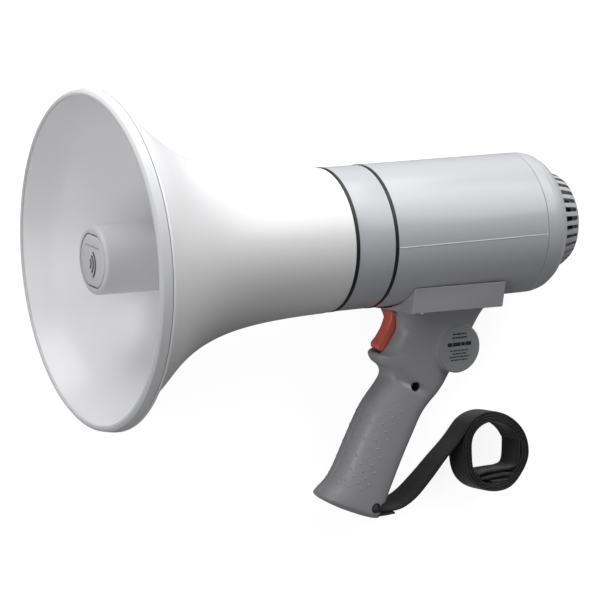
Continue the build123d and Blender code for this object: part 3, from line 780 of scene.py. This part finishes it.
def handle_half_shape(side):
    """One half of the handle's outer skin as a closed solid, cut flat along the middle."""
    rings, steps = 170, 44
    verts, faces = [], []
    rows = []
    for ring in range(rings):
        rows.append([handle_point(ring / (rings - 1), math.pi * step / steps) for step in range(steps + 1)])
    tip = rows[-1]
    middle = (tip[0] + tip[-1]) / 2
    down = Vector((tip[0].z - tip[-1].z, 0, tip[-1].x - tip[0].x)).normalized() * -1
    for shrink, drop in ((0.99, 0.7), (0.965, 1.3), (0.92, 1.9), (0.8, 2.7), (0.55, 3.5), (0.2, 4.0)):
        rows.append([middle + (point - middle) * shrink + down * drop for point in tip])
    for row in rows:
        for point in row:
            verts.append((point.x, side * max(0.04, -point.y), point.z))
    count = steps + 1
    for ring in range(len(rows) - 1):
        for step in range(count):
            ahead = (step + 1) % count
            faces.append((ring * count + step, ring * count + ahead, (ring + 1) * count + ahead,
                          (ring + 1) * count + step))
    faces.append(tuple(range(count)))
    faces.append(tuple(range((len(rows) - 1) * count, len(rows) * count))[::-1])
    return verts, faces


def rod_shape(centre, direction, radius, length, ease=0.0, steps=72):
    """A round bar with eased ends."""
    profile = rounded([(0, 0), (0, radius, ease), (length, radius, ease), (length, 0)], closed=False)
    return turned_about(lathe(profile, steps, closed=False), centre, direction, (1, 0, 0.3))


def saddle_bow(side):
    """Half of the hollow-sided bow that fairs the plate's front end into the horn's axis."""
    rear = PLATE_CORNERS[0][0] + 1
    outline = []
    for step in range(13):
        share = step / 12
        outline.append((BOW_TIP + (rear - BOW_TIP) * share, side * (0.04 + 33.5 * share ** 1.7)))
    outline.append((rear, 0.04 * side))
    verts, faces = prism(outline, -29.0, -47.4)
    return [(x, y, z) for x, z, y in verts], faces


def handle_shell(name, side, stands_for, material):
    """Half of the handle: skin, bow, disc drum, trigger slot and screw wells, with softened moulded edges."""
    made = new_object(name, handle_half_shape(side))
    combine(made, new_object("bow", saddle_bow(side)), "UNION")
    x, z = DISC_CENTRE
    drum = rod_shape((x, 0.04 * side, z), (0, side, 0), DISC_RADIUS, abs(DISC_FACE) - 0.04, 0.8)
    combine(made, new_object("drum", drum), "UNION")
    slot = rounded([(198.0, -47.9), (224.5, -47.9), (224.5, -78.4, 1.0), (209.0, -78.9, 0.5), (196.0, -73.0)])
    combine(made, new_object("slot", prism(slot, -TRIGGER_HALF - 0.6, TRIGGER_HALF + 0.6)), "DIFFERENCE")
    combine(made, new_object("strap_slot", strap_slot_shape()), "DIFFERENCE")
    step = made.modifiers.new("remesh", "REMESH")
    step.mode = "VOXEL"
    step.voxel_size = HANDLE_VOXEL
    apply_modifiers(made)
    step = made.modifiers.new("smooth", "SMOOTH")
    step.factor = 0.5
    step.iterations = 6
    apply_modifiers(made)
    wells = [rod_shape(across(STRAP_SCREW, side * 13.9), (0, side, 0), 3.4, 9)]
    if side < 0:
        wells.append(rod_shape(across(GRIP_SCREW, -2.0), (0, -1, 0), WELL_RADIUS, 20))
    for well in wells:
        combine(made, new_object("well", well), "DIFFERENCE")
    combine(made, body_seat(1.0), "DIFFERENCE")
    return place(made, material, "handle_grey", stands_for=[stands_for], sharp=60)


def body_seat(gap):
    """The hollow in the saddle that leaves a narrow gap round the body."""
    return new_object("seat", rod_shape((190, 0, 0), (1, 0, 0), BODY_RADIUS + gap, 110, 0, 160))


def well_shade_liner(material):
    """A black liner inside the deep screw well in the grip's left side: painted shade where the hole is dark."""
    radius = WELL_RADIUS
    profile = rounded([(0, 0), (0, radius - 0.05), (11.6, radius - 0.05, 0.1), (11.6, radius - 0.45, 0.1),
                       (1.0, radius - 0.45, 0.2), (1.0, 0)], closed=False)
    liner = turned_about(lathe(profile, 48, closed=False), across(GRIP_SCREW, -2.1), (0, -1, 0))
    return place(new_object("well_shade_liner", liner), material, "black_plastic")


def screw_shade_ring(material):
    """A black ring round the strap screw's head: painted shade in the gap between the head and its well."""
    profile = rounded([(0, 2.3), (0, 3.3, 0.2), (1.9, 3.3, 0.3), (1.9, 2.3, 0.2)])
    ring = turned_about(lathe(profile, 48), across(STRAP_SCREW, -13.6), (0, -1, 0))
    return place(new_object("screw_shade_ring", ring), material, "black_plastic")


def saddle_plate(side, material):
    """Half of the flat plate that the body sits on."""
    outline = [(*corner, 0.6) for corner in PLATE_CORNERS]
    low, high = sorted((side * 0.06, side * PLATE_HALF_WIDTH))
    name = "saddle_plate_left" if side < 0 else "saddle_plate_right"
    made = bevelled(new_object(name, prism(rounded(outline), low, high)), 0.6)
    combine(made, body_seat(0.35), "DIFFERENCE")
    return place(made, material, "handle_grey", sharp=35)


def across(place_xz, y):
    return (place_xz[0], y, place_xz[1])


def strap_slot_shape():
    x, z = STRAP_SCREW
    return box_shape((x + 9, 0, z - 1.6), (18, STRAP_WIDTH + 1.0, 5.6))


def grip_dots(material):
    """Rows of small raised dots on the front and sides of the grip, each row shifted by half a space."""
    shapes = []
    for row in range(DOT_ROWS):
        share = 0.70 + 0.205 * row / (DOT_ROWS - 1)
        line = [handle_point(share, math.pi * step / 200) for step in range(201)]
        travelled = 0.0
        wanted = 0.0 if row % 2 == 0 else DOT_SPACING / 2
        for before, here in zip(line, line[1:]):
            travelled += (here - before).length
            if wanted <= travelled < DOT_REACH:
                ahead = handle_point(share + 0.002, math.pi * line.index(here) / 200)
                normal = (here - before).cross(ahead - here).normalized()
                if normal.y > 0:
                    normal.negate()
                shapes.append(dome(here - normal * 0.15, normal, DOT_RADIUS, DOT_HEIGHT))
                if wanted > 0:
                    mirrored = Vector((here.x, -here.y, here.z))
                    outward = Vector((normal.x, -normal.y, normal.z))
                    shapes.append(dome(mirrored - outward * 0.15, outward, DOT_RADIUS, DOT_HEIGHT))
                wanted += DOT_SPACING
    return place(new_object("grip_dots", joined(*shapes)), material, "handle_grey", sharp=80)


def dome(centre, normal, radius, height):
    profile = [(-0.2, 0), (-0.2, radius), (0.1, radius)]
    profile += [(0.1 + (height - 0.1) * math.sin(math.radians(angle)), radius * math.cos(math.radians(angle)))
                for angle in (25, 50, 75)]
    profile.append((height, 0))
    reference = (1, 0, 0) if abs(normal.x) < 0.9 else (0, 0, 1)
    return turned_about(lathe(profile, 14, closed=False), centre, normal, reference)


def label_plate(material):
    """The thin round plate on the drum, with an eased edge."""
    x, z = DISC_CENTRE
    plate = rod_shape((x, DISC_FACE + 0.2, z), (0, -1, 0), DISC_RADIUS - 1.0, 0.9, 0.3, 120)
    return place(new_object("label_plate", plate), material, "label_grey", stands_for=["label_disc"])


def label_bars(material):
    """Rows of short bars with gaps, where the real plate is printed."""
    x, z = DISC_CENTRE
    shapes = []
    for height, width, thick in ((9.8, 10.4, 1.0), (7.4, 10.9, 1.0), (3.0, 18.0, 2.5), (-1.2, 14.2, 0.75),
                                 (-3.3, 10.6, 0.75), (-5.4, 14.6, 0.75), (-7.5, 12.4, 0.75)):
        start, end = x - width / 2, x + width / 2
        for word in (0.19, 0.31, 0.14, 0.24) * 2:
            length = min(word * 12 * thick ** 0.5, end - start)
            if length > 0.4:
                centre = (start + length / 2, DISC_FACE - 0.75, z + height)
                shapes.append(box_shape(centre, (length, 0.2, thick)))
            start += length + 0.5
    return place(bevelled(new_object("label_bars", joined(*shapes)), 0.06, 1), material, "black_plastic")


def trigger_blade(material):
    """The red trigger: a curved blade with a hollowed front, a rounded nose and eased edges."""
    outline = rounded([(214.4, -50.0, 1.5), (218.6, -50.0, 1.5), (219.8, -55.0, 3), (218.9, -61.5, 6),
                       (214.8, -70.4, 6), (211.2, -76.6, 1.5), (208.4, -77.4, 1.2), (204.2, -74.4, 1.6),
                       (204.0, -71.6, 1.6), (207.4, -68.0, 6), (211.0, -62.6, 8), (213.4, -56.6, 8)], steps=6)
    verts, faces = prism(outline, -TRIGGER_HALF, TRIGGER_HALF)
    made = bevelled(new_object("trigger_blade", (verts, faces)), 1.15, 4, 50)
    return place(made, material, "trigger_red", "trigger", ["trigger"], sharp=50)


def cross_screw(name, centre, material, stands_for):
    """A countersunk screw head with a cross recess."""
    head = new_object(name, rod_shape(centre, (0, -1, 0), 2.1, 1.8, 0.5, 48))
    for size in ((3.2, 1.4, 0.8), (0.8, 1.4, 3.2)):
        recess = box_shape((centre[0], centre[1] - 1.9, centre[2]), size)
        combine(head, new_object("recess", recess), "DIFFERENCE")
    shank = rod_shape(centre, (0, 1, 0), 1.5, 20, 0.3, 32)
    combine(head, new_object("shank", shank), "UNION")
    return place(head, material, "steel", stands_for=stands_for)


# Strap


STRAP_ROUTE = [
    # x, z of the webbing's middle line from inside the grip's heel to the start of the coil
    (198.0, -180.2),
    (208.0, -181.6),
    (219.0, -181.2),
    (230.0, -175.6),
    (241.9, -164.6),
    (252.6, -153.8),
    (263.6, -143.6),
]
STRAP_FOLD = [
    # x, z of the end that is folded back inside the coil
    (303.0, -158.8),
    (298.0, -162.2),
    (290.0, -163.0),
    (281.0, -163.8),
    (274.8, -165.6),
    (276.6, -168.0),
    (286.0, -167.2),
    (294.0, -166.2),
    (299.4, -166.4),
    (300.6, -168.0),
    (297.0, -169.6),
    (291.0, -170.2),
    (283.0, -170.4),
]
STRAP_TAIL = [
    # x, z of the sewn end that sticks out under the strap at the heel
    (197.0, -182.6),
    (204.0, -184.2),
    (214.5, -183.8),
]
COIL_CENTRE = (290.3, -151.9)
COIL_RADII = (21.3, 23.8, 25.6, 25.2, 23.9, 27.5, 24.6, 20.3)
COIL_PITCH = 1.75
COIL_START = 138
COIL_END = -1064


def coil_radius(angle):
    """The coil's radius at an angle in degrees: a squashed circle that shrinks with every turn."""
    turns = (COIL_START - angle) / 360
    eighth = angle % 360 / 45
    first = int(eighth)
    rows = [(COIL_RADII[(first + step) % 8],) for step in (-1, 0, 1, 2)]
    return smooth_between(rows, (1 + eighth - first) / 3)[0] - COIL_PITCH * turns


def strap_centres():
    """The middle line of the webbing as (x, z) points: free run, coil and folded inner end."""
    points = list(STRAP_ROUTE)
    for angle in range(COIL_START, COIL_END, -9):
        turn = math.radians(angle)
        radius = coil_radius(angle)
        points.append((COIL_CENTRE[0] + radius * math.cos(turn), COIL_CENTRE[1] + radius * math.sin(turn)))
    return points + STRAP_FOLD


def height_on_table(x, z, height):
    """The upright y of a point with this x and z that lies a given height in millimetres above the table."""
    level = (UPRIGHT @ Vector((x, 0, z))).z / MM
    return (height - level) / TABLE_UP.y


def band_shape(route, samples, turn_from, turn_to):
    """A webbing band along a route: its points, faces, weave marks and length.

    Between the lengths turn_from and turn_to it turns from the slot's way onto its edge.
    """
    line = [Vector(smooth_between(route, step / (samples - 1))) for step in range(samples)]
    across_slot = Vector((0, 1, 0))
    across_coil = (-TABLE_UP * 0.55 + across_slot * 0.45).normalized()
    columns = 26
    length = 0.0
    verts, faces, marks = [], [], []
    for index, here in enumerate(line):
        before, ahead = line[max(index - 1, 0)], line[min(index + 1, samples - 1)]
        length += (here - before).length
        turn = smooth_step(length, turn_from, turn_to)
        width_way = across_slot.lerp(across_coil, turn).normalized()
        forward = Vector((ahead.x - before.x, 0, ahead.y - before.y)).normalized()
        forward = (forward - width_way * forward.dot(width_way)).normalized()
        outward = forward.cross(width_way)
        on_table = height_on_table(here.x, here.y, STRAP_WIDTH / 2 + STRAP_LIFT)
        centre = Vector((here.x, turn * on_table, here.y))
        for side in (1, -1):
            for column in range(columns + 1)[::side]:
                share = 2 * column / columns - 1
                ribs = 0.05 * math.cos(share * math.pi * 13)
                thick = STRAP_THICKNESS / 2 * (1 - 0.35 * abs(share) ** 8) + ribs
                point = centre + width_way * (share * STRAP_WIDTH / 2) + outward * side * thick
                verts.append(tuple(point))
                marks.append((column, length / STRAP_THICKNESS))
    ring = 2 * (columns + 1)
    for index in range(samples - 1):
        for step in range(ring):
            ahead = (step + 1) % ring
            faces.append((index * ring + step, index * ring + ahead, (index + 1) * ring + ahead,
                          (index + 1) * ring + step))
    faces.append(tuple(range(ring)))
    faces.append(tuple(range((samples - 1) * ring, samples * ring))[::-1])
    return verts, faces, marks, length


def strap_band(material):
    """The strap, which turns onto its edge in the coil, and its sewn tail, which is too short to turn."""
    main = band_shape(strap_centres(), 640, turn_from=8.0, turn_to=95.0)
    tail = band_shape(STRAP_TAIL, 24, turn_from=1000.0, turn_to=2000.0)
    verts, faces = joined((main[0], main[1]), (tail[0], tail[1]))
    marks = main[2] + tail[2]
    mesh = bpy.data.meshes.new("wrist_strap")
    mesh.from_pydata(verts, [], faces)
    layer = mesh.uv_layers.new(name="weave")
    for loop in mesh.loops:
        layer.data[loop.index].uv = marks[loop.vertex_index]
    made = bpy.data.objects.new("wrist_strap", mesh)
    bpy.context.scene.collection.objects.link(made)
    place(made, material, "strap_black", stands_for=["strap"], sharp=50)
    return made


# CAD nodes that stay, with better materials


def repaint(materials):
    """Gives every CAD node that still shows its procedural material."""
    painted_with = {
        "white": ["throat_tube", "return_cup"],
        "zinc": ["driver_front_plate", "driver_yoke", "driver_screws", "volume_pot", "battery_springs",
                 "microphone_capsule", "saddle_screws", "handle_screws", "trigger_pin", "trigger_spring"],
        "phenolic": ["surround", "diaphragm"],
        "copper": ["voice_coil"],
        "ferrite": ["driver_magnet", "output_transformer"],
        "board": ["amplifier_board", "cover_contact_plate"],
        "black": ["power_transistors", "battery_holder", "talk_switch"],
        "sleeve": ["board_capacitors", "switch_plunger"],
        "jacket": ["battery_cells"],
        "brass": ["battery_contacts", "strap_bush"],
        "cloth": ["microphone_screen"],
        "rubber": ["microphone_cushion", "switch_lead", "driver_lead"],
    }
    for paint, names in painted_with.items():
        for name in names:
            for slot in frame["nodes"][name].material_slots:
                slot.material = materials[paint]


def all_materials():
    return {
        "bell": moulded_plastic("bell_plastic", (0.86, 0.86, 0.872), 0.30, 0.06),
        "rim": moulded_plastic("rim_plastic", (0.68, 0.685, 0.70), 0.5, 0.6, 900.0),
        "reflector": moulded_plastic("reflector_plastic", (0.66, 0.66, 0.68), 0.34, 0.10),
        "white": moulded_plastic("inner_white_plastic", (0.78, 0.78, 0.78), 0.5),
        "body": moulded_plastic("body_plastic", (0.50, 0.508, 0.53), 0.24, 0.08),
        # The bead is lighter than the body plastic: a painted highlight along the parting line.
        "bead": moulded_plastic("bead_painted_highlight", (0.62, 0.635, 0.65), 0.25, 0.08),
        "cap": moulded_plastic("cap_plastic", (0.48, 0.485, 0.50), 0.42, 0.2),
        "handle": moulded_plastic("handle_plastic", (0.355, 0.352, 0.371), 0.295, 0.14),
        "label": moulded_plastic("label_plastic", (0.31, 0.317, 0.322), 0.45, 0.15),
        "badge": moulded_plastic("badge_plastic", (0.68, 0.68, 0.695), 0.38, 0.3),
        "mark": moulded_plastic("mark_ink", (0.02, 0.02, 0.024), 0.5, 0.1),
        "badge_mark": moulded_plastic("badge_mark", (0.09, 0.09, 0.10), 0.4, 0.1),
        "trigger": moulded_plastic("trigger_plastic", (0.84, 0.17, 0.12), 0.3, 0.10),
        "black": moulded_plastic("black_plastic", (0.02, 0.02, 0.022), 0.45),
        "sleeve": moulded_plastic("sleeve_plastic", (0.03, 0.06, 0.24), 0.35),
        "jacket": moulded_plastic("cell_jacket", (0.10, 0.14, 0.24), 0.3),
        "rubber": black_rubber("black_rubber"),
        "zinc": metal("zinc_plate", (0.62, 0.62, 0.64), 0.34),
        "screw": metal("dark_screw", (0.30, 0.30, 0.31), 0.4),
        "copper": metal("copper_wire", (0.72, 0.36, 0.20), 0.35),
        "brass": metal("brass_plate", (0.74, 0.58, 0.30), 0.32),
        "ferrite": speckled("ferrite", (0.045, 0.045, 0.05), (0.075, 0.07, 0.07), 0.55, 900.0),
        "phenolic": speckled("phenolic_film", (0.24, 0.13, 0.06), (0.32, 0.18, 0.08), 0.4, 700.0),
        "board": speckled("circuit_board", (0.02, 0.15, 0.06), (0.03, 0.22, 0.09), 0.35, 260.0),
        "cloth": speckled("acoustic_cloth", (0.012, 0.012, 0.012), (0.03, 0.03, 0.03), 0.85, 2200.0),
        "webbing": webbing("nylon_webbing"),
    }


def build_all():
    materials = all_materials()
    horn_bell(materials["bell"])
    rim_ring(materials["rim"])
    reflector(materials["reflector"])
    badge(materials["badge"])
    badge_waves(materials["badge_mark"])
    seal("front_seal", FRONT_SEAL, "front_seal_ring", materials["rubber"])
    seal("rear_seal", REAR_SEAL, "rear_seal_ring", materials["rubber"])
    collar(materials["body"])
    body_half("body_upper", True, "body_upper_shell", materials["body"])
    body_half("body_lower", False, "body_lower_shell", materials["body"])
    parting_beads(materials["bead"])
    rear_shell(materials["body"])
    microphone_grille(materials["cap"])
    volume_dial(materials["black"])
    handle_shell("handle_left", -1, "handle_left_shell", materials["handle"])
    handle_shell("handle_right", 1, "handle_right_shell", materials["handle"])
    well_shade_liner(materials["black"])
    screw_shade_ring(materials["black"])
    saddle_plate(-1, materials["handle"])
    saddle_plate(1, materials["handle"])
    grip_dots(materials["handle"])
    label_plate(materials["label"])
    label_bars(materials["mark"])
    trigger_blade(materials["trigger"])
    cross_screw("strap_fixing", across(STRAP_SCREW, -13.4), materials["screw"], ["strap_screw"])
    strap_band(materials["webbing"])
    repaint(materials)


add_camera()
add_floor()
add_lights()
build_all()
